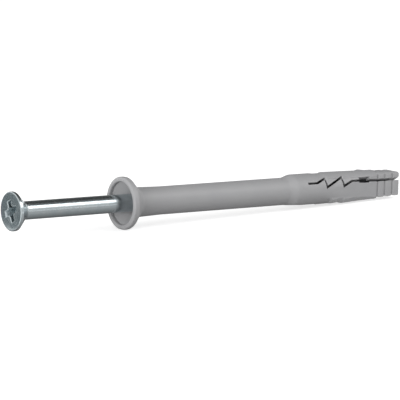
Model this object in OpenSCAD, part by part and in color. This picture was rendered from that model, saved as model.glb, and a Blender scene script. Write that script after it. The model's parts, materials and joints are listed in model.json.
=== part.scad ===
// Hammer fixing plug: a slotted nylon sleeve with a zinc-plated nail-screw pre-assembled in it.
// Both pieces are drawn along +X, from the nail's head to the sleeve's tip, with the collar's front plane
// at x = 0 and the slot facing -Y. They are then laid down together, on the collar's rim and a barb pad.

/* [Sleeve] */
// Length from the collar's front plane to the tip
sleeve_length = 80; // [75:1:120]
// Diameter of the plain shaft
shaft_d = 6.55; // [6.3:0.05:6.9]
// Diameter of the thicker neck under the collar
neck_d = 6.95; // [6.9:0.05:7.4]
// Length over which the neck tapers down to the shaft
neck_taper = 6; // [3:0.5:10]
// Bore of the collar's end of the shaft
shaft_bore_d = 4.6; // [4.4:0.05:5]

/* [Collar] */
// Outer diameter of the collar
collar_d = 12.2; // [11.8:0.1:14]
// Thickness of the collar's rim
rim_thickness = 1.35; // [1:0.05:2]
// Radius of the rounding on the rim's edges
lip_round = 0.45; // [0.2:0.05:0.45]
// Diameter of the cup's mouth, inside the rounded lip
cup_d = 10; // [9.6:0.1:10.2]
// Radius of the fillet between the collar's cone and the neck
collar_fillet = 1.6; // [0.8:0.1:2]

/* [Jaws] */
// Length of the expansion zone, from its first ramp to the tip
zone_length = 33.6; // [32:0.2:36]
// Length of the ramp from the shaft up to the land
zone_ramp = 2; // [1:0.1:3]
// Diameter of the land at the root of the jaws
land_d = 7.5; // [7.45:0.01:7.55]
// Length of the land
land_length = 8; // [6:0.1:9]
// Diameter over the rounded corners of the jaws at the tip
tip_d = 7; // [6.8:0.05:7.2]
// Length of the close bore ahead of the expansion zone
grip_lead = 4; // [2:0.5:8]

/* [Slot] */
// Length of the slot, from its blunt start to the tip
slot_length = 28.6; // [28:0.1:30]
// Width of the slot
slot_w = 0.55; // [0.3:0.05:0.6]
// Length of the straight lead before the first tooth
slot_lead = 2.8; // [2:0.1:3]
// Number of zigzag teeth
tooth_count = 2; // [1:1:2]
// Height of a zigzag tooth to each side of the slot's middle
tooth_height = 1.1; // [0.8:0.05:1.3]
// Distance from one tooth to the next
tooth_pitch = 5.1; // [4.8:0.1:5.4]
// Length of the first and the last ramp of the zigzag
tooth_ramp = 2.6; // [2.2:0.1:2.8]
// Length that a tooth's steep flank takes
tooth_flank = 0.3; // [0.2:0.05:0.5]
// Length of the window in the slot
window_length = 3.4; // [2:0.1:3.8]
// Height of the window
window_h = 1.3; // [0.8:0.1:1.6]
// Distance that the window's middle lies above the slot's middle
window_rise = 0.15; // [0:0.05:0.3]
// Distance from the window to the tip
window_from_tip = 9.5; // [9:0.1:10]
// Height of the cut off the upper jaw's corner at the tip, from the slot's middle
mouth_rise = 1.1; // [0.4:0.1:1.4]
// Height of the cut off the lower jaw's corner
mouth_drop = 0.4; // [0.3:0.1:0.6]
// Length of the cut-off corners
mouth_length = 1.2; // [0.8:0.1:2]

/* [Barbs] */
// Width of the raised pads across each jaw
pad_w = 5.5; // [4:0.1:6]
// Diameter over the pads' shoulders, for the drilled hole
pad_d = 7.94; // [7.8:0.02:7.94]
// Diameter that a pad slopes down to before the next shoulder
pad_low_d = 7.4; // [7.3:0.02:7.5]
// Length of a shoulder's ramp
shoulder_ramp = 0.5; // [0.3:0.05:0.8]
// Distances of the upper jaw's shoulders from the end of the land
upper_shoulders = [1.2, 12.5]; // [0:0.1:14]
// Distances of the lower jaw's shoulders from the end of the land
lower_shoulders = [0.1, 7.2]; // [0:0.1:14]

/* [Tip] */
// Length of the tip's barbs, from the first groove to the end
rings_length = 6.6; // [5:0.1:7]
// Distance from one barb to the next; the last one is cut short by the end
ring_pitch = 2.45; // [1.8:0.05:2.6]
// Depth of the grooves between the barbs
ring_groove = 0.2; // [0.1:0.02:0.24]
// Width of the tip between the jaws' flat cheeks
cheek_w = 5.2; // [5:0.1:5.6]
// Height of the upper jaw's back above the axis at the first barb
tip_rise = 3.4; // [3.2:0.05:3.45]
// Depth of the lower jaw's back below the axis at the first barb
tip_drop = 3.05; // [2.9:0.05:3.4]
// Distance by which both backs are lower at the end
tip_taper = 0.25; // [0.1:0.05:0.3]

/* [Flats] */
// Turn of the pads, the flats and the tip's sides about the axis, from the middle of each jaw
flat_turn = 30; // [26:1:34]
// Depth of the flats on the rim
rim_flat = 0.1; // [0.06:0.02:0.12]
// Depth of the flat along each pad
pad_flat = 0.12; // [0.06:0.02:0.16]
// Depth of the flat along the land, on the lower jaw's side
land_flat = 0.2; // [0.1:0.02:0.24]

/* [Nail] */
// Length from the head's face to the point
nail_length = 80; // [76:0.5:84]
// Diameter of the shank
shank_d = 4.16; // [3.9:0.02:4.2]
// Diameter of the countersunk head
head_d = 8.9; // [8.4:0.1:9.2]
// Thickness of the head's edge, rounding included
head_land = 0.8; // [0.5:0.05:0.9]
// Radius of the rounding on the head's front edge
head_round = 0.35; // [0.15:0.05:0.4]
// Radius of the fillet under the head
head_fillet = 1; // [0.4:0.1:1.2]
// Distance that the head's face stands out of the collar
stand_out = 29.2; // [25:0.1:32]
// Length of the point
point_length = 4.5; // [3:0.5:7]
// Diameter of the point's blunt end
point_d = 0.9; // [0.5:0.1:1.5]

/* [Cross recess] */
// Diameter across the wings at the head's face
recess_d = 5.2; // [4.4:0.1:5.4]
// Diameter across the wings at the bottom
recess_low_d = 2.6; // [2.4:0.1:3]
// Depth of the recess
recess_depth = 2.3; // [1.6:0.1:2.5]
// Width of a wing
wing_w = 1.05; // [0.8:0.05:1.3]
// Diameter of the recess's core
core_d = 2.2; // [1.8:0.1:2.4]
// Turn of the recess about the nail
recess_turn = 13; // [0:1:90]

/* [Fit] */
// Radial clearance between the nail and the close bore
grip_clearance = 0.05; // [0.03:0.01:0.1]

/* [Hidden] */

$fn = 96;
over = 1;

shaft_r = shaft_d / 2;
shaft_bore_r = shaft_bore_d / 2;
neck_r = neck_d / 2;
collar_r = collar_d / 2;
cup_r = cup_d / 2;
land_r = land_d / 2;
pad_r = pad_d / 2;
rim_flat_r = collar_r - rim_flat;
pad_flat_r = pad_r - pad_flat;
tip_r = tip_d / 2;
head_r = head_d / 2;
shank_r = shank_d / 2;
grip_r = shank_r + grip_clearance;

// Stations along the axis
cone_end = rim_thickness + collar_r - neck_r;
neck_start = cone_end + collar_fillet * tan(22.5);
neck_end = neck_start + neck_taper;
cup_end = lip_round + cup_r - shaft_bore_r;
zone_start = sleeve_length - zone_length;
land_start = zone_start + zone_ramp;
land_end = land_start + land_length;
rings_start = sleeve_length - rings_length;
ring_count = ceil(rings_length / ring_pitch - 0.01);
grip_start = zone_start - grip_lead;
slot_start = sleeve_length - slot_length;
window_start = sleeve_length - window_from_tip - window_length;

// Radius of the jaws' cone at the first barb of the tip, and just inside it, where the pads end
jaw_r = land_r + (tip_r - land_r) * (rings_start - land_end) / (sleeve_length - land_end);
pad_end_r = jaw_r - pad_flat;

// The plug lies on the rim's flat and on the flat of a pad of the lower jaw, each at its end nearest the tip
rim_edge = rim_thickness - lip_round * tan(22.5);
rim_contact = rim_edge + sqrt(pow(lip_round, 2) - pow(lip_round - rim_flat, 2));
last_pad = len(lower_shoulders) - 1;
pad_contacts = [for (i = [0:last_pad])
    let (from = land_end + lower_shoulders[i] + shoulder_ramp,
         to = i < last_pad ? land_end + lower_shoulders[i + 1] : rings_start,
         low_r = i < last_pad ? pad_low_d / 2 : pad_end_r)
    [from + (to - from) * pad_flat / (pad_r - low_r), pad_flat_r]];
ground_contacts = concat(pad_contacts, [[rings_start, tip_drop], [sleeve_length, tip_drop - tip_taper]]);
dip = min([for (c = ground_contacts) atan((rim_flat_r - c[1]) / (c[0] - rim_contact))]);

// Points of an arc about a centre, as [radius, station]
function arc(centre, r, from, to, steps = 8) =
    [for (i = [0:steps]) let (a = from + (to - from) * i / steps) centre + r * [cos(a), sin(a)]];

// Fillet that blends a cone running at 45 degrees into a straight shank
function cone_fillet(r, cone_end, fillet) =
    arc([r + fillet, cone_end + fillet * tan(22.5)], fillet, 225, 180);

// Band of width w along a path, with mitred corners
function edge_side(path, i) = let (d = path[i + 1] - path[i]) [-d.y, d.x] / norm(d);
function mitre(path, i) =
    i == 0 ? edge_side(path, 0) :
    i == len(path) - 1 ? edge_side(path, i - 1) :
    let (a = edge_side(path, i - 1), b = edge_side(path, i)) (a + b) / (1 + a * b);
function band(path, w) = concat(
    [for (i = [0:len(path) - 1]) path[i] + mitre(path, i) * w / 2],
    [for (i = [len(path) - 1:-1:0]) path[i] - mitre(path, i) * w / 2]);

module lie_down() {
    rotate([0, dip, 0]) rotate([-flat_turn, 0, 0]) children();
}

// Solid turned about the X axis from a profile of [radius, station]
module turned(profile) {
    rotate([0, 90, 0]) rotate_extrude() polygon(profile);
}

// Cut right through the sleeve along Y, from an outline of [station, height]
module cut_through(outline) {
    rotate([90, 0, 0]) linear_extrude(collar_d, center = true) polygon(outline);
}

// Rounded barbs along the tip and past its end, as [station, depth below their backs]
function ring_beads(steps = 6) =
    [for (i = [0:ring_count - 1], k = [i == 0 ? 0 : 1:steps])
        let (u = k / steps)
        [rings_start + (i + u) * ring_pitch, ring_groove * (1 - 4 * u * (1 - u))]];

module sleeve_blank() {
    turned(concat(
        [[0, 0]],
        arc([collar_r - lip_round, lip_round], lip_round, -90, 0),
        arc([collar_r - lip_round, rim_edge], lip_round, 0, 45),
        cone_fillet(neck_r, cone_end, collar_fillet),
        [[shaft_r, neck_end], [shaft_r, zone_start], [land_r, land_start], [land_r, land_end],
         [tip_r, sleeve_length], [0, sleeve_length]]));
}

// Sawtooth pads of the upper jaw, each with its shoulder towards the collar
module barb_pads(shoulders) {
    last = len(shoulders) - 1;
    stations = [for (s = shoulders) land_end + s];
    pads_start = stations[0] - shoulder_ramp / 2;
    rotate([flat_turn, 0, 0]) intersection() {
        turned(concat(
            [[0, pads_start], [land_r - (pad_r - land_r) / 2, pads_start]],
            [for (i = [0:last]) each [
                [pad_r, stations[i] + shoulder_ramp],
                i < last ? [pad_low_d / 2, stations[i + 1]] : [pad_end_r, rings_start]]],
            [[0, rings_start]]));
        translate([pads_start, -pad_w / 2, 0]) cube([rings_start - pads_start, pad_w, pad_flat_r]);
    }
}

// Flats on both sides of the rim
module rim_flats() {
    for (turn = [0, 180])
        rotate([flat_turn + turn, 0, 0]) translate([-over, -collar_r, rim_flat_r])
            cube([cone_end, collar_d, collar_r]);
}

// Flat along the land, up to the lower jaw's first pad
module land_flat_cut() {
    rotate([flat_turn + 180, 0, 0]) translate([zone_start, -land_r, land_r - land_flat])
        cube([land_end + shoulder_ramp / 2 - zone_start, land_d, land_d]);
}

// Cut along one side of the tip that leaves its barbs standing, with a lead-in of [station, height]
module tip_side(turn, height, taper = 0, lead = []) {
    end = rings_start + ring_count * ring_pitch + over;
    start = concat(lead, [[rings_start - ring_groove, height]]);
    beads = [for (b = ring_beads()) [b[0], height - taper * (b[0] - rings_start) / rings_length - b[1]]];
    rotate([flat_turn + turn, 0, 0])
        cut_through(concat(start, beads, [[end, height - taper], [end, collar_r], [start[0].x, collar_r]]));
}

// The tip's four sides; its cheeks narrow from the land on
module tip_sides() {
    tip_side(0, tip_rise, tip_taper);
    tip_side(180, tip_drop, tip_taper);
    for (turn = [90, -90])
        tip_side(turn, cheek_w / 2, lead = [[land_end, land_r + shoulder_ramp]]);
}

// Cup for the nail's head, bore of the shaft and close bore of the jaws
module sleeve_bore() {
    turned(concat(
        [[0, -over], [cup_r + lip_round, -over]],
        arc([cup_r + lip_round, lip_round], lip_round, 270, 180),
        [[shaft_bore_r, cup_end], [shaft_bore_r, grip_start - shaft_bore_r + grip_r], [grip_r, grip_start],
         [grip_r, sleeve_length + over], [0, sleeve_length + over]]));
}

// Zigzag slot, its window and the cut-off corners of its mouth
module jaw_slot() {
    first_tooth = slot_start + slot_lead + tooth_ramp;
    zigzag_end = first_tooth + (tooth_count - 1) * tooth_pitch + tooth_flank + tooth_ramp;
    cut_through(band(concat(
        [[slot_start, 0], [slot_start + slot_lead, 0]],
        [for (i = [0:tooth_count - 1]) let (t = first_tooth + i * tooth_pitch)
            each [[t, tooth_height], [t + tooth_flank, -tooth_height]]],
        [[zigzag_end, 0], [sleeve_length + over, 0]]), slot_w));
    translate([window_start, -collar_r, window_rise - window_h / 2])
        cube([window_length, collar_d, window_h]);
    cut_through([[sleeve_length - mouth_length, 0],
        [sleeve_length, mouth_rise], [sleeve_length + over, mouth_rise],
        [sleeve_length + over, -mouth_drop], [sleeve_length, -mouth_drop]]);
}

module cross_recess() {
    rotate([recess_turn, 0, 0]) rotate([0, 90, 0]) {
        intersection() {
            for (turn = [0, 90])
                rotate(turn) translate([-recess_d, -wing_w / 2, -over])
                    cube([2 * recess_d, wing_w, recess_depth + over]);
            cylinder(d1 = recess_d, d2 = recess_low_d, h = recess_depth);
        }
        cylinder(d = core_d, h = recess_depth);
        translate([0, 0, recess_depth]) cylinder(d1 = core_d, d2 = 0, h = core_d / 4);
    }
}

module sleeve() {
    color("#9c9c9c") lie_down() difference() {
        union() {
            difference() {
                sleeve_blank();
                land_flat_cut();
            }
            barb_pads(upper_shoulders);
            rotate([180, 0, 0]) barb_pads(lower_shoulders);
        }
        rim_flats();
        tip_sides();
        sleeve_bore();
        jaw_slot();
    }
}

module nail_screw() {
    color("#b4bcc2") lie_down() translate([-stand_out, 0, 0]) difference() {
        turned(concat(
            [[0, 0]],
            arc([head_r - head_round, head_round], head_round, -90, 0),
            [[head_r, head_land]],
            cone_fillet(shank_r, head_land + head_r - shank_r, head_fillet),
            [[shank_r, nail_length - point_length], [point_d / 2, nail_length], [0, nail_length]]));
        cross_recess();
    }
}

sleeve();
nail_screw();
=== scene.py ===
# Hammer fixing plug: a moulded nylon sleeve and the zinc-plated nail-screw that is driven into it
import json
import math

import bpy
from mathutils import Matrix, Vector


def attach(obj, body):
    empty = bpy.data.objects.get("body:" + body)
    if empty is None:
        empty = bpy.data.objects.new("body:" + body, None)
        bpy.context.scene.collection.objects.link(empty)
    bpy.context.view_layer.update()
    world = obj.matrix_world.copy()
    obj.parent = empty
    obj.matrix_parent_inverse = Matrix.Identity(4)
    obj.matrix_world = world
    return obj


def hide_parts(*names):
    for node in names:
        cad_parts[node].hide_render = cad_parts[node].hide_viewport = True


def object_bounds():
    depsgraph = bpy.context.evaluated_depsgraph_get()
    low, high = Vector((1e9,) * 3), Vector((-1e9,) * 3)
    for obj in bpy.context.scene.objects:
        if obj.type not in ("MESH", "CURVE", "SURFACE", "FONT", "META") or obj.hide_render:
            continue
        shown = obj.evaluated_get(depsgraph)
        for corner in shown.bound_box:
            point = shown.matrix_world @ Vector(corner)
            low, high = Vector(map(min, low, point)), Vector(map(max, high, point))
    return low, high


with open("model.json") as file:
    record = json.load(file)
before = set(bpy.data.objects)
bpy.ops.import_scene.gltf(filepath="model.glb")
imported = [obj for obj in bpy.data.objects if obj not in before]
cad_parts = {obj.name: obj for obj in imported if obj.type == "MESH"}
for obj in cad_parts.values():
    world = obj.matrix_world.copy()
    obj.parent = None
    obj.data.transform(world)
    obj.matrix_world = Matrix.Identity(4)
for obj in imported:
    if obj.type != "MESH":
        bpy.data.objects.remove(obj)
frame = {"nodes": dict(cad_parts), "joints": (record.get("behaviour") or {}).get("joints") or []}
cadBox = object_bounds()
scene = bpy.context.scene
scene.view_settings.view_transform = "Standard"
perMetre = 1000  # mm
print("frame loaded:", sorted(frame["nodes"]))


# Small helpers for colours and nodes

def linearColour(hexCode):
    channels = [int(hexCode[i:i + 2], 16) / 255 for i in (1, 3, 5)]
    return [c / 12.92 if c <= 0.04045 else ((c + 0.055) / 1.055) ** 2.4 for c in channels] + [1]


def addNode(tree, kind, settings=None, links=None):
    node = tree.nodes.new(kind)
    for key, value in (settings or {}).items():
        if isinstance(key, int) or key in node.inputs:
            node.inputs[key].default_value = value
        else:
            setattr(node, key, value)
    for key, socket in (links or {}).items():
        tree.links.new(socket, node.inputs[key])
    return node


def newMaterial(name):
    material = bpy.data.materials.new(name)
    material.use_nodes = True
    material.node_tree.nodes.clear()
    return material, material.node_tree


# Injection-moulded PA6 nylon: a dull satin grey, with a faint cloudy tone and the fine grain of the mould
nylon = {
    "colour": "#9f9fa0",
    "cloudTone": "#979799",
    "cloudSize": 5.0,  # mm
    "grainSize": 0.22,  # mm, drawn coarser than the real spark-eroded grain so that it shows
    "grainDepth": 0.006,  # mm
    "roughness": (0.42, 0.56),
    "bump": 0.35,
    "ior": 1.53,
}


def nylonMoulded():
    material, tree = newMaterial("nylonInjectionMoulded")
    place = addNode(tree, "ShaderNodeTexCoord").outputs["Object"]
    clouds = addNode(tree, "ShaderNodeTexNoise", {"Scale": perMetre / nylon["cloudSize"], "Detail": 3.0},
                     {"Vector": place})
    tone = addNode(tree, "ShaderNodeMix", {"data_type": "RGBA", 6: linearColour(nylon["cloudTone"]),
                                           7: linearColour(nylon["colour"])}, {0: clouds.outputs["Fac"]})
    grain = addNode(tree, "ShaderNodeTexNoise", {"Scale": perMetre / nylon["grainSize"], "Detail": 2.0},
                    {"Vector": place})
    low, high = nylon["roughness"]
    rough = addNode(tree, "ShaderNodeMapRange", {"To Min": low, "To Max": high},
                    {"Value": grain.outputs["Fac"]})
    bump = addNode(tree, "ShaderNodeBump",
                   {"Strength": nylon["bump"], "Distance": nylon["grainDepth"] / perMetre},
                   {"Height": grain.outputs["Fac"]})
    shader = addNode(tree, "ShaderNodeBsdfPrincipled", {"IOR": nylon["ior"], "Specular IOR Level": 0.5},
                     {"Base Color": tone.outputs[2], "Roughness": rough.outputs[0],
                      "Normal": bump.outputs[0]})
    addNode(tree, "ShaderNodeOutputMaterial", links={"Surface": shader.outputs[0]})
    return material


# Bright zinc plating on cold-headed steel wire: cool, mirror-like, with faint drawn lines along the shank
zinc = {
    "colour": "#c6cccd",
    "blueTone": "#b2bdc2",
    "toneSize": 2.5,  # mm
    "lineWidth": 0.16,  # mm, drawn coarser than the real die lines so that they show
    "lineLength": 9.0,  # mm
    "lineDepth": 0.004,  # mm
    "roughness": (0.16, 0.26),
    "bump": 0.25,
}


def zincPlated():
    material, tree = newMaterial("zincElectroplatedBright")
    place = addNode(tree, "ShaderNodeTexCoord").outputs["Object"]
    patches = addNode(tree, "ShaderNodeTexNoise", {"Scale": perMetre / zinc["toneSize"], "Detail": 3.0},
                      {"Vector": place})
    tone = addNode(tree, "ShaderNodeMix", {"data_type": "RGBA", 6: linearColour(zinc["blueTone"]),
                                           7: linearColour(zinc["colour"])}, {0: patches.outputs["Fac"]})
    along = addNode(tree, "ShaderNodeMapping", {"Scale": (zinc["lineWidth"] / zinc["lineLength"], 1, 1)},
                    {"Vector": place})
    lines = addNode(tree, "ShaderNodeTexNoise", {"Scale": perMetre / zinc["lineWidth"], "Detail": 2.0},
                    {"Vector": along.outputs[0]})
    low, high = zinc["roughness"]
    rough = addNode(tree, "ShaderNodeMapRange", {"To Min": low, "To Max": high},
                    {"Value": patches.outputs["Fac"]})
    bump = addNode(tree, "ShaderNodeBump",
                   {"Strength": zinc["bump"], "Distance": zinc["lineDepth"] / perMetre},
                   {"Height": lines.outputs["Fac"]})
    shader = addNode(tree, "ShaderNodeBsdfPrincipled", {"Metallic": 1.0},
                     {"Base Color": tone.outputs[2], "Roughness": rough.outputs[0],
                      "Normal": bump.outputs[0]})
    addNode(tree, "ShaderNodeOutputMaterial", links={"Surface": shader.outputs[0]})
    return material


nylonMaterial = nylonMoulded()
zincMaterial = zincPlated()
print("materials made")


# The pieces are modelled in millimetres along +X with the slot towards -Y, then laid down as the frame lies
axis = Vector(frame["joints"][0]["axis"])
lie = {
    "roll": math.radians(-30.0),  # the flats face the ground
    "dip": math.asin(-axis.z),
    "smoothAngle": math.radians(35),
}
merge = {"corner": 0.002, "outline": 0.001, "spin": 0.0005, "sliver": 0.01}  # mm, points taken as one
coneAngle = 45.0  # degrees, of the collar's cone and of the head's
overrun = 1  # mm that a cutter passes the surface
barHalf = 8  # mm, half the length of a bar right through the sleeve
barTop = 7  # mm from the axis, clear of the sleeve


def startObject(name):
    bpy.ops.object.select_all(action="DESELECT")
    bpy.ops.mesh.primitive_plane_add(size=1)
    bpy.context.object.name = name
    bpy.ops.object.mode_set(mode="EDIT")
    bpy.ops.mesh.select_all(action="SELECT")
    bpy.ops.mesh.merge(type="CENTER")
    return bpy.context.object


# A chain of edges in the XZ plane, drawn point by point as (station, radius), its end joined to its start
def drawOutline(name, points, closed=True):
    shape = startObject(name)
    here = Vector((0, 0, 0))
    for number, (station, radius) in enumerate(points):
        there = Vector((station, 0, radius))
        if number == 0:
            bpy.ops.transform.translate(value=there)
        else:
            bpy.ops.mesh.extrude_region_move(TRANSFORM_OT_translate={"value": there - here})
        here = there
    if closed:
        bpy.ops.mesh.extrude_region_move(
            TRANSFORM_OT_translate={"value": Vector((points[0][0], 0, points[0][1])) - here})
        bpy.ops.mesh.select_all(action="SELECT")
        bpy.ops.mesh.remove_doubles(threshold=merge["outline"])
    return shape


def selectVertices(shape, test):
    bpy.ops.mesh.select_all(action="DESELECT")
    bpy.ops.object.mode_set(mode="OBJECT")
    for vertex in shape.data.vertices:
        vertex.select = test(vertex.co)
    bpy.ops.object.mode_set(mode="EDIT")


# Round the corner at a point of an outline, with the tangent length that the radius needs
def roundCorner(shape, station, height, radius, turn, segments=5):
    bpy.ops.mesh.select_mode(type="VERT")
    selectVertices(shape, lambda co: math.hypot(co.x - station, co.z - height) < merge["corner"])
    tangent = radius * math.tan(math.radians(turn) / 2)
    bpy.ops.mesh.bevel(affect="VERTICES", offset=tangent, segments=segments)


def spinRound(shape, steps, angle=2 * math.pi):
    bpy.ops.mesh.select_all(action="SELECT")
    bpy.ops.mesh.spin(steps=steps, angle=angle, center=(0, 0, 0), axis=(1, 0, 0))
    bpy.ops.mesh.select_all(action="SELECT")
    bpy.ops.mesh.remove_doubles(threshold=merge["spin"])
    bpy.ops.mesh.normals_make_consistent(inside=False)


def finishEdit(shape):
    bpy.ops.object.mode_set(mode="OBJECT")
    return shape


def makeActive(shape):
    bpy.ops.object.select_all(action="DESELECT")
    bpy.context.view_layer.objects.active = shape
    shape.select_set(True)


def applyModifier(shape, kind, **settings):
    makeActive(shape)
    modifier = shape.modifiers.new(kind.lower(), kind)
    for key, value in settings.items():
        setattr(modifier, key, value)
    bpy.ops.object.modifier_apply(modifier=modifier.name)


def combine(shape, tool, operation):
    applyModifier(shape, "BOOLEAN", operation=operation, object=tool, solver="EXACT")
    bpy.data.objects.remove(tool)


# Turn the finished piece about its axis, dip it, bring it to metres and smooth it
def layDown(shape):
    makeActive(shape)
    shape.rotation_euler = (lie["roll"], lie["dip"], 0)
    shape.scale = [1 / perMetre] * 3
    bpy.ops.object.transform_apply(location=True, rotation=True, scale=True)
    bpy.ops.object.shade_smooth_by_angle(angle=lie["smoothAngle"])
    applyModifier(shape, "WEIGHTED_NORMAL", keep_sharp=True)  # large faces stay even beside rounded edges


# The moulded sleeve: collar with its cup, neck, shaft, land, tapering jaws and the square, barbed tip
sleeve = {
    "length": 80.0, "shaftR": 3.275, "neckR": 3.475, "neckTaper": 6.0, "boreR": 2.3, "gripR": 2.13,
    "collarR": 6.1, "rimThickness": 1.35, "lipRound": 0.45, "cupR": 5.0, "cupWall": 0.95,
    "cupRound": 0.35,
    "collarFillet": 1.6, "zoneStart": 46.4, "landStart": 48.4, "landEnd": 56.4, "landStartR": 3.9,
    "landStepStart": 54.0, "landStepEnd": 55.5, "landR": 3.75, "rampRound": 2.5,
    "gripStart": 42.4, "taperStart": 75.7, "taperEndR": 0.57, "tipR": 3.7, "steps": 96,
    "flatTurn": 30.0,  # degrees from the middle of the upper jaw to the side with the flats and pads
    "rimFlat": 0.1, "underFlat": 0.45, "underStep": 0.28, "underTaper": 0.2,
    "underShoulders": (54.9, 62.0), "underClear": 0.01,
    "underLead": ((-0.8, 0.1), (0.3, 0.12), (1.6, 0)),  # from the land's start, depth past the flat
    "ringsStart": 73.4, "ringCount": 3, "ringPitch": 2.3, "ringGroove": 0.22, "cheekGroove": 0.38,
    "tipRise": 3.4, "tipDrop": 2.8, "tipTaper": 0.25, "cheekHalf": 2.6, "cheekLead": 0.5,
}


# Rounded barbs along the tip and past its end, as (station, rise above the groove from 0 to 1)
def ringBeads(steps=12):
    points = []
    for ring in range(sleeve["ringCount"]):
        for k in range(0 if ring == 0 else 1, steps + 1):
            u = k / steps
            points.append((sleeve["ringsStart"] + (ring + u) * sleeve["ringPitch"], 1 - (2 * u - 1) ** 4))
    return points


def sleeveBlank():
    z = sleeve
    coneEnd = z["rimThickness"] + z["collarR"] - z["neckR"]
    neckEnd = coneEnd + z["collarFillet"] * math.tan(math.radians(coneAngle / 2)) + z["neckTaper"]
    cupEnd = z["cupWall"] + z["cupR"] - z["boreR"]
    outside = [(0, z["collarR"]), (z["rimThickness"], z["collarR"]), (coneEnd, z["neckR"]),
               (neckEnd, z["shaftR"]), (z["zoneStart"], z["shaftR"]), (z["landStart"], z["landStartR"]),
               (z["landStepStart"], z["landStartR"]), (z["landStepEnd"], z["landR"]),
               (z["landEnd"], z["landR"]), (z["length"], z["tipR"])]
    inside = [(z["length"], z["taperEndR"]), (z["taperStart"], z["gripR"]), (z["gripStart"], z["gripR"]),
              (z["gripStart"] - z["boreR"] + z["gripR"], z["boreR"]), (cupEnd, z["boreR"]),
              (z["cupWall"], z["cupR"]), (0, z["cupR"])]
    blank = drawOutline("sleeveMoulded", outside + inside)
    roundCorner(blank, 0, z["collarR"], z["lipRound"], 90)
    roundCorner(blank, 0, z["cupR"], z["cupRound"], 90)
    roundCorner(blank, z["rimThickness"], z["collarR"], z["lipRound"], coneAngle)
    roundCorner(blank, coneEnd, z["neckR"], z["collarFillet"], coneAngle, segments=8)
    ramp = math.degrees(math.atan((z["landStartR"] - z["shaftR"]) / (z["landStart"] - z["zoneStart"])))
    roundCorner(blank, z["zoneStart"], z["shaftR"], z["rampRound"], ramp)
    roundCorner(blank, z["landStart"], z["landStartR"], z["rampRound"], ramp)
    spinRound(blank, z["steps"])
    return finishEdit(blank)


# Cut away all that lies beyond a plane, and close the cut
def trim(shape, place, normal):
    makeActive(shape)
    bpy.ops.object.mode_set(mode="EDIT")
    bpy.ops.mesh.select_all(action="SELECT")
    bpy.ops.mesh.bisect(plane_co=place, plane_no=normal, use_fill=True, clear_outer=True)
    bpy.ops.object.mode_set(mode="OBJECT")


def turnAboutAxis(shape, degrees):
    makeActive(shape)
    shape.rotation_euler = (math.radians(degrees), 0, 0)
    bpy.ops.object.transform_apply(location=False, rotation=True, scale=False)


# Direction across the axis, measured from the middle of the upper jaw
def across(degrees):
    return Vector((0, -math.sin(math.radians(degrees)), math.cos(math.radians(degrees))))


# Raised sawtooth pads of the jaws, each shoulder towards the collar
pads = {
    "upper": ((57.6, 68.9), 3.97, 5.5), "lower": ((58.6, 62.2), 4.1, 6.5),  # shoulders, their radius, width
    "end": 73.4, "lowR": 3.77, "endR": 3.45, "footR": 2.9, "ramp": 0.5,
    "flatR": 3.92, "edgeRound": 0.12, "edgeAngle": 35.0, "steps": 40, "sweep": 130.0,
}


def barbPads(name, shoulders, shoulderR, width):
    slope = (shoulderR - sleeve["landR"]) / pads["ramp"]
    profile = [(shoulders[0] - (sleeve["landR"] - pads["footR"]) / slope, pads["footR"])]
    for number, shoulder in enumerate(shoulders):
        if number > 0:
            profile.append((shoulder, pads["lowR"]))
        profile.append((shoulder + pads["ramp"], shoulderR))
    profile += [(pads["end"], pads["endR"]), (pads["end"], pads["footR"])]
    piece = drawOutline(name, profile)
    spinRound(piece, pads["steps"], math.radians(pads["sweep"]))
    bpy.ops.mesh.fill_holes(sides=0)
    bpy.ops.mesh.normals_make_consistent(inside=False)
    finishEdit(piece)
    lean = math.degrees(math.atan2(*[sum(v.co[i] for v in piece.data.vertices) for i in (1, 2)]))
    turnAboutAxis(piece, lean)
    for side in (1, -1):
        trim(piece, (0, side * width / 2, 0), (0, side, 0))
    trim(piece, (0, 0, pads["flatR"]), (0, 0, 1))
    applyModifier(piece, "BEVEL", width=pads["edgeRound"], segments=3, limit_method="ANGLE",
                  angle_limit=math.radians(pads["edgeAngle"]))
    return piece


# Zigzag slot between the jaws, with its window and the rounded-off mouth at the tip
slot = {
    "start": 51.4, "width": 0.55, "lead": 2.8, "toothCount": 2, "toothHeight": 1.1, "toothPitch": 5.1,
    "toothRamp": 2.6, "toothFlank": 0.3,
    "windowStart": 67.1, "windowLength": 3.4, "windowHeight": 1.3, "windowRise": 0.15,
    "mouthLength": 0.5, "mouthRise": 0.6, "mouthDrop": 0.35,
}


def slotPath():
    first = slot["start"] + slot["lead"] + slot["toothRamp"]
    path = [(slot["start"], 0), (slot["start"] + slot["lead"], 0)]
    for tooth in range(slot["toothCount"]):
        here = first + tooth * slot["toothPitch"]
        path += [(here, slot["toothHeight"]), (here + slot["toothFlank"], -slot["toothHeight"])]
    end = first + (slot["toothCount"] - 1) * slot["toothPitch"] + slot["toothFlank"] + slot["toothRamp"]
    return [Vector(point) for point in path + [(end, 0), (sleeve["length"] + overrun, 0)]]


# Outline of a band along a path, with mitred corners
def bandAlong(path, width):
    sides = [Vector((-(b - a).y, (b - a).x)).normalized() for a, b in zip(path, path[1:])]
    mitres = [sides[0]] + [(a + b) / (1 + a.dot(b)) for a, b in zip(sides, sides[1:])] + [sides[-1]]
    upper = [point + mitre * width / 2 for point, mitre in zip(path, mitres)]
    lower = [point - mitre * width / 2 for point, mitre in zip(path, mitres)]
    return [tuple(point) for point in upper + lower[::-1]]


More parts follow.
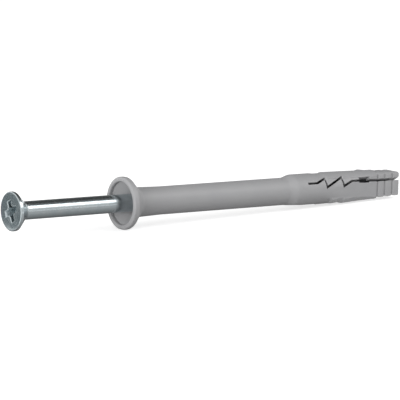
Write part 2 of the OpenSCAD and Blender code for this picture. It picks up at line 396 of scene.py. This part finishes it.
# A bar right through the sleeve along Y, from an outline of (station, height)
def barThrough(name, outline):
    bar = drawOutline(name, outline)
    bpy.ops.mesh.select_all(action="SELECT")
    bpy.ops.mesh.edge_face_add()
    bpy.ops.transform.translate(value=(0, -barHalf, 0))
    bpy.ops.mesh.extrude_region_move(TRANSFORM_OT_translate={"value": (0, 2 * barHalf, 0)})
    bpy.ops.mesh.select_all(action="SELECT")
    bpy.ops.mesh.normals_make_consistent(inside=False)
    return finishEdit(bar)


# What is cut from under the land and the lower jaw, with a shoulder at each barb
def underBar(name):
    z = sleeve
    low = z["landR"] - z["underFlat"]
    outline = [(z["zoneStart"], z["shaftR"] + z["underClear"])]
    outline += [(z["landStart"] + ahead, low - deeper) for ahead, deeper in z["underLead"]]
    for shoulder in z["underShoulders"]:
        outline += [(shoulder, low), (shoulder + pads["ramp"], low + z["underStep"])]
    outline += [(z["ringsStart"], low - z["underTaper"]), (z["ringsStart"], barTop),
                (z["zoneStart"], barTop)]
    return barThrough(name, outline)


# What is cut from one side of the tip, so that its barbs stand; the lead-in is (station, height)
def tipBar(name, height, taper, groove, leadIn=()):
    z = sleeve
    outline = list(leadIn) + [(z["ringsStart"] - groove, height)]
    for station, rise in ringBeads():
        narrowing = taper * (station - z["ringsStart"]) / (z["length"] - z["ringsStart"])
        outline.append((station, height - narrowing - groove * (1 - rise)))
    end = outline[-1][0] + overrun
    outline += [(end, height - taper), (end, barTop), (outline[0][0], barTop)]
    return barThrough(name, outline)


# Merge the slivers that the cuts leave
def dissolveSlivers(piece):
    bpy.ops.object.mode_set(mode="EDIT")
    bpy.ops.mesh.select_all(action="SELECT")
    bpy.ops.mesh.remove_doubles(threshold=merge["sliver"])
    bpy.ops.mesh.dissolve_degenerate(threshold=merge["sliver"])
    bpy.ops.mesh.normals_make_consistent(inside=False)
    finishEdit(piece)


def slottedSleeve():
    z = sleeve
    piece = sleeveBlank()
    for jaw, turn in (("upper", 0), ("lower", 180)):
        pad = barbPads(jaw + "Pads", *pads[jaw])
        turnAboutAxis(pad, z["flatTurn"] + turn)
        combine(piece, pad, "UNION")
    for turn in (0, 180):
        outward = across(z["flatTurn"] + turn)
        trim(piece, outward * (z["collarR"] - z["rimFlat"]), outward)
    under = underBar("underBar")
    turnAboutAxis(under, z["flatTurn"] + 180)
    combine(piece, under, "DIFFERENCE")
    cheek = (z["cheekHalf"], 0, z["cheekGroove"], [(z["landEnd"], z["landR"] + z["cheekLead"])])
    upper, lower = [(height, z["tipTaper"], z["ringGroove"]) for height in (z["tipRise"], z["tipDrop"])]
    sides = {0: upper, 180: lower, 90: cheek, -90: cheek}
    for turn, side in sides.items():
        bar = tipBar("tipBar", *side)
        turnAboutAxis(bar, z["flatTurn"] + turn)
        combine(piece, bar, "DIFFERENCE")
    combine(piece, barThrough("slotBar", bandAlong(slotPath(), slot["width"])), "DIFFERENCE")
    left, right = slot["windowStart"], slot["windowStart"] + slot["windowLength"]
    low = slot["windowRise"] - slot["windowHeight"] / 2
    high = slot["windowRise"] + slot["windowHeight"] / 2
    window = barThrough("windowBar", [(left, low), (right, low), (right, high), (left, high)])
    combine(piece, window, "DIFFERENCE")
    tip = z["length"]
    mouth = barThrough("mouthBar", [(tip - slot["mouthLength"], 0), (tip, slot["mouthRise"]),
                                    (tip + overrun, slot["mouthRise"]),
                                    (tip + overrun, -slot["mouthDrop"]),
                                    (tip, -slot["mouthDrop"])])
    combine(piece, mouth, "DIFFERENCE")
    dissolveSlivers(piece)
    return piece


sleevePiece = slottedSleeve()
print("sleeve moulded:", len(sleevePiece.data.polygons), "faces")
layDown(sleevePiece)
sleevePiece.data.materials.append(nylonMaterial)
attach(sleevePiece, "sleeve")
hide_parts("sleeve")


# The nail-screw: countersunk head with its cross recess, drawn shank, rolled thread and point
nail = {
    "standOut": 29.2, "length": 80.0, "shankR": 2.08, "headR": 4.45, "headLand": 0.8, "headRound": 0.22,
    "headBackRound": 0.12, "headFillet": 1.0, "pointLength": 4.5, "pointR": 0.45, "steps": 72,
    "pointRound": 0.2, "pointTurn": 70.0,
    "threadStart": 36.0, "threadEnd": 75.2, "coreR": 1.76, "pitch": 1.3, "crest": 0.25,
    "threadSink": 0.1, "threadGap": 0.06, "threadLead": 0.2, "threadRun": 1.0, "threadSteps": 24,
}
recess = {
    "width": 4.8, "lowWidth": 3.4, "depth": 2.3, "wing": 1.25, "lowWing": 0.85, "coreR": 1.25,
    "coreLowR": 0.9, "turn": 7.0, "edgeRound": 0.15, "stub": 0.2, "steps": 32,
    "flare": [(0.0, 1.0), (0.03, 0.62), (0.1, 0.25), (0.24, 0.0)],  # depth, share of the edge's rounding
}


def nailBlank():
    z = nail
    face = -z["standOut"]
    coneEnd = face + z["headLand"] + z["headR"] - z["shankR"]
    step = z["shankR"] - z["coreR"]
    outline = [(face, 0), (face, z["headR"]), (face + z["headLand"], z["headR"]), (coneEnd, z["shankR"]),
               (face + z["threadStart"], z["shankR"]), (face + z["threadStart"] + step, z["coreR"]),
               (face + z["threadEnd"], z["coreR"]), (face + z["length"], z["pointR"]),
               (face + z["length"], 0)]
    blank = drawOutline("nailPlated", outline, closed=False)
    roundCorner(blank, face, z["headR"], z["headRound"], 90, segments=6)
    roundCorner(blank, face + z["headLand"], z["headR"], z["headBackRound"], coneAngle, segments=3)
    roundCorner(blank, coneEnd, z["shankR"], z["headFillet"], coneAngle, segments=8)
    roundCorner(blank, face + z["length"], z["pointR"], z["pointRound"], z["pointTurn"], segments=4)
    spinRound(blank, z["steps"])
    return finishEdit(blank)


# Width and length of the wings at a depth; the flare is a share of the edge's rounding
def wingSize(depth, flare):
    down = max(depth, 0) / recess["depth"]
    extra = 2 * flare * recess["edgeRound"]
    return (recess["wing"] + (recess["lowWing"] - recess["wing"]) * down + extra,
            recess["width"] + (recess["lowWidth"] - recess["width"]) * down + extra)


# One wing pair: a bar that narrows towards the bottom of the recess and flares at the face
def recessWings(name):
    bpy.ops.object.select_all(action="DESELECT")
    bpy.ops.mesh.primitive_cube_add(size=1)
    wings = bpy.context.object
    wings.name = name
    sections = [(-overrun, 1)] + recess["flare"] + [(recess["depth"], 0)]
    bpy.ops.object.mode_set(mode="EDIT")
    bpy.ops.mesh.select_all(action="SELECT")
    width, length = wingSize(*sections[0])
    bpy.ops.transform.resize(value=(recess["stub"], width, length))
    bpy.ops.transform.translate(value=(sections[0][0] - recess["stub"] / 2, 0, 0))
    selectVertices(wings, lambda co: co.x > sections[0][0] - recess["stub"] / 2)
    for (before, _), (after, flare) in zip(sections, sections[1:]):
        bpy.ops.mesh.extrude_region_move(TRANSFORM_OT_translate={"value": (after - before, 0, 0)})
        newWidth, newLength = wingSize(after, flare)
        bpy.ops.transform.resize(value=(1, newWidth / width, newLength / length))
        width, length = newWidth, newLength
    bpy.ops.mesh.select_all(action="SELECT")
    bpy.ops.mesh.normals_make_consistent(inside=False)
    return finishEdit(wings)


def crossRecess():
    cross = recessWings("recessCutter")
    other = recessWings("recessCutterAcross")
    turnAboutAxis(other, 90)
    combine(cross, other, "UNION")
    outline = [(-overrun, 0)]
    for depth, flare in [(-overrun, 1)] + recess["flare"]:
        outline.append((depth, recess["coreR"] + flare * recess["edgeRound"]))
    outline += [(recess["depth"], recess["coreLowR"]), (recess["depth"] + recess["coreLowR"] / 2, 0)]
    core = drawOutline("recessCore", outline, closed=False)
    spinRound(core, recess["steps"])
    combine(cross, finishEdit(core), "UNION")
    turnAboutAxis(cross, recess["turn"])
    bpy.ops.object.mode_set(mode="EDIT")
    bpy.ops.mesh.select_all(action="SELECT")
    bpy.ops.transform.translate(value=(-nail["standOut"], 0, 0))
    return finishEdit(cross)


# The rolled thread: a ridge of four sides wound right-handed along the core
def threadRidge():
    z = nail
    foot = z["coreR"] - z["threadSink"]
    half = z["pitch"] / 2 - z["threadGap"]
    begin = -z["standOut"] + z["threadStart"] + z["threadLead"]
    turns = int((z["threadEnd"] - z["threadStart"] - z["threadRun"]) / z["pitch"])
    ridge = drawOutline("threadRidge", [(begin, foot), (begin + half - z["crest"] / 2, z["shankR"]),
                                        (begin + half + z["crest"] / 2, z["shankR"]),
                                        (begin + 2 * half, foot)])
    finishEdit(ridge)
    applyModifier(ridge, "SCREW", axis="X", screw_offset=z["pitch"], iterations=turns,
                  steps=z["threadSteps"], render_steps=z["threadSteps"], use_merge_vertices=False)
    bpy.ops.object.mode_set(mode="EDIT")
    bpy.ops.mesh.select_all(action="SELECT")
    bpy.ops.mesh.fill_holes(sides=0)
    bpy.ops.mesh.normals_make_consistent(inside=False)
    return finishEdit(ridge)


def nailScrew():
    piece = nailBlank()
    combine(piece, crossRecess(), "DIFFERENCE")
    ridge = threadRidge()
    bpy.ops.object.select_all(action="DESELECT")
    ridge.select_set(True)
    piece.select_set(True)
    bpy.context.view_layer.objects.active = piece
    bpy.ops.object.join()
    return piece


nailPiece = nailScrew()
print("nail made:", len(nailPiece.data.polygons), "faces")
layDown(nailPiece)
nailPiece.data.materials.append(zincMaterial)
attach(nailPiece, "nail")
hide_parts("nail_screw")


# Studio: a pale floor, a soft key light from the front and above, a low fill from the left, and glowing
# cards that only the gloss sees, painted reflections which give the plated shank its dark and grey bands
studio = {
    "floorSize": 8.0,  # m
    "floorColour": "#c8c8c8",
    "floorGlow": 0.68,  # for the camera and for reflections, so that the floor reads white
    "ambient": 0.57,
    "keyPlace": (0.42, -0.46, 0.56),  # m
    "keySize": (0.75, 0.5),
    "keyPower": 2.65,
    "fillPlace": (-0.86, -0.2, 0.14),
    "fillSize": (0.7, 0.24),
    "fillPower": 7.0,
}
cards = {
    "steps": 24,
    "radius": 0.5,  # m, of the curved cards about the nail
    "reach": (0.05, 0.75),  # m along the nail, to where the shank's reflections go
    "above": (60, 190),  # degrees about the nail, from the front over the top to the back
    "aboveTones": ((-0.24, 0.12), (0.35, 0.055), (1.0, 0.17)),  # place across, brightness
    "front": (-3, 27),
    "frontTones": ((-1.0, 0.72), (-0.89, 0.82)),
    "underTones": ((-80, 0.75), (-11, 0.55), (-4, 0.36), (1, 0.18), (60, 0.12)),  # mm across, brightness
    "under": (-34, 60, -80, 60, 0.05),  # mm: left, right, near, far, lift
    "back": (-160, -40, 8, 140, 0.1),
    "backTone": 0.27,
    "backTint": "#e0edf1",
}


def seenDirectly(tree):
    rays = addNode(tree, "ShaderNodeLightPath")
    total = addNode(tree, "ShaderNodeMath", {"operation": "MAXIMUM"},
                    {0: rays.outputs["Is Camera Ray"], 1: rays.outputs["Is Glossy Ray"]})
    return addNode(tree, "ShaderNodeMath", {"operation": "MAXIMUM"},
                   {0: total.outputs[0], 1: rays.outputs["Is Transmission Ray"]}).outputs[0]


def buildFloor():
    bpy.ops.object.select_all(action="DESELECT")
    bpy.ops.mesh.primitive_plane_add(size=studio["floorSize"], location=(0, 0, cadBox[0].z))
    floor = bpy.context.object
    floor.name = "floor"
    material, tree = newMaterial("floorPaintedBoard")
    paint = addNode(tree, "ShaderNodeBsdfDiffuse", {"Color": linearColour(studio["floorColour"])})
    glow = addNode(tree, "ShaderNodeMath", {"operation": "MULTIPLY", 1: studio["floorGlow"]},
                   {0: seenDirectly(tree)})
    light = addNode(tree, "ShaderNodeEmission", links={"Strength": glow.outputs[0]})
    both = addNode(tree, "ShaderNodeAddShader", links={0: paint.outputs[0], 1: light.outputs[0]})
    addNode(tree, "ShaderNodeOutputMaterial", links={"Surface": both.outputs[0]})
    floor.data.materials.append(material)


def buildWorld():
    world = bpy.data.worlds.new("studioWorld")
    scene.world = world
    world.use_nodes = True
    tree = world.node_tree
    tree.nodes.clear()
    strength = addNode(tree, "ShaderNodeMapRange", {"To Min": studio["ambient"], "To Max": 1.0},
                       {"Value": seenDirectly(tree)})
    sky = addNode(tree, "ShaderNodeBackground", {"Color": (1, 1, 1, 1)}, {"Strength": strength.outputs[0]})
    addNode(tree, "ShaderNodeOutputWorld", links={"Surface": sky.outputs[0]})


def addSoftbox(name, place, size, power, inGloss=True):
    bpy.ops.object.light_add(type="AREA", location=place)
    lamp = bpy.context.object
    lamp.name = name
    lamp.data.shape = "RECTANGLE"
    lamp.data.size, lamp.data.size_y = size
    lamp.data.energy = power
    lamp.rotation_euler = (-Vector(place)).to_track_quat("-Z", "Y").to_euler()
    lamp.visible_glossy = inGloss


# A card is a glowing sheet that only reflections see, a painted reflection on the plated and moulded
# surfaces; its brightness goes from tone to tone across Y, in metres
def paintCard(card, tones, tint="#ffffff"):
    material, tree = newMaterial(card.name + "ReflectionGlow")
    place = addNode(tree, "ShaderNodeTexCoord").outputs["Object"]
    parts = addNode(tree, "ShaderNodeSeparateXYZ", links={0: place})
    low, high = tones[0][0], tones[-1][0]
    along = addNode(tree, "ShaderNodeMapRange", {"From Min": low, "From Max": high},
                    {"Value": parts.outputs["Y"]})
    ramp = addNode(tree, "ShaderNodeValToRGB", links={0: along.outputs[0]})
    stops = ramp.color_ramp.elements
    while len(stops) < len(tones):
        stops.new(0.5)
    for stop, (spot, _) in zip(stops, tones):
        stop.position = (spot - low) / (high - low)
    for stop, (_, tone) in zip(stops, tones):
        stop.color = [tone * c for c in linearColour(tint)[:3]] + [1]
    light = addNode(tree, "ShaderNodeEmission", {"Strength": 1.0}, {"Color": ramp.outputs[0]})
    addNode(tree, "ShaderNodeOutputMaterial", links={"Surface": light.outputs[0]})
    card.data.materials.append(material)
    card.visible_camera = False
    card.visible_diffuse = False
    card.visible_transmission = False
    card.visible_shadow = False


def curvedCard(name, angles, tones):
    begin, end = [math.radians(a) for a in angles]
    card = startObject(name)
    bpy.ops.transform.translate(value=(cards["reach"][0], -math.cos(begin) * cards["radius"],
                                       math.sin(begin) * cards["radius"]))
    length = cards["reach"][1] - cards["reach"][0]
    bpy.ops.mesh.extrude_region_move(TRANSFORM_OT_translate={"value": (length, 0, 0)})
    bpy.ops.mesh.select_all(action="SELECT")
    bpy.ops.mesh.spin(steps=cards["steps"], angle=end - begin, center=(0, 0, 0), axis=(1, 0, 0))
    bpy.ops.object.mode_set(mode="OBJECT")
    paintCard(card, [(spot * cards["radius"], tone) for spot, tone in tones])


def flatCard(name, left, right, near, far, lift, tones, tint="#ffffff"):
    bpy.ops.object.select_all(action="DESELECT")
    bpy.ops.mesh.primitive_plane_add(size=1)
    card = bpy.context.object
    card.name = name
    bpy.ops.object.mode_set(mode="EDIT")
    bpy.ops.mesh.select_all(action="SELECT")
    bpy.ops.transform.resize(value=((right - left) / perMetre, (far - near) / perMetre, 1))
    middle = Vector(((left + right) / (2 * perMetre), (near + far) / (2 * perMetre),
                     cadBox[0].z + lift / perMetre))
    bpy.ops.transform.translate(value=middle)
    bpy.ops.object.mode_set(mode="OBJECT")
    paintCard(card, [(spot / perMetre, tone) for spot, tone in tones], tint)


buildFloor()
buildWorld()
addSoftbox("keySoftbox", studio["keyPlace"], studio["keySize"], studio["keyPower"])
addSoftbox("fillSoftbox", studio["fillPlace"], studio["fillSize"], studio["fillPower"], inGloss=False)
curvedCard("darkCardAbove", cards["above"], cards["aboveTones"])
curvedCard("greyCardFront", cards["front"], cards["frontTones"])
flatCard("greyCardUnder", *cards["under"], cards["underTones"])
flatCard("greyCardBack", *cards["back"], [(edge, cards["backTone"]) for edge in cards["back"][2:4]],
         cards["backTint"])
print("studio built")


# Camera: a long lens a little above level, seen from the nail's head
view = {
    "azimuth": -35.096,
    "elevation": 9.441,
    "lens": 236.19,  # mm
    "sensor": 36,  # mm
    "clip": (0.01, 50),  # m
    "distance": 0.59951,  # m
    "aimRight": 0.018194,  # m from the middle of the collar's front
    "aimUp": 0.000771,
}


def addCamera():
    azimuth, elevation = math.radians(view["azimuth"]), math.radians(view["elevation"])
    back = Vector((math.sin(azimuth) * math.cos(elevation), -math.cos(azimuth) * math.cos(elevation),
                   math.sin(elevation)))
    right = Vector((math.cos(azimuth), math.sin(azimuth), 0))
    aim = right * view["aimRight"] + back.cross(right) * view["aimUp"]
    bpy.ops.object.camera_add(location=aim + back * view["distance"])
    camera = bpy.context.object
    camera.rotation_euler = (-back).to_track_quat("-Z", "Y").to_euler()
    camera.data.lens = view["lens"]
    camera.data.sensor_width = view["sensor"]
    camera.data.clip_start, camera.data.clip_end = view["clip"]
    scene.camera = camera


addCamera()
print("camera placed")
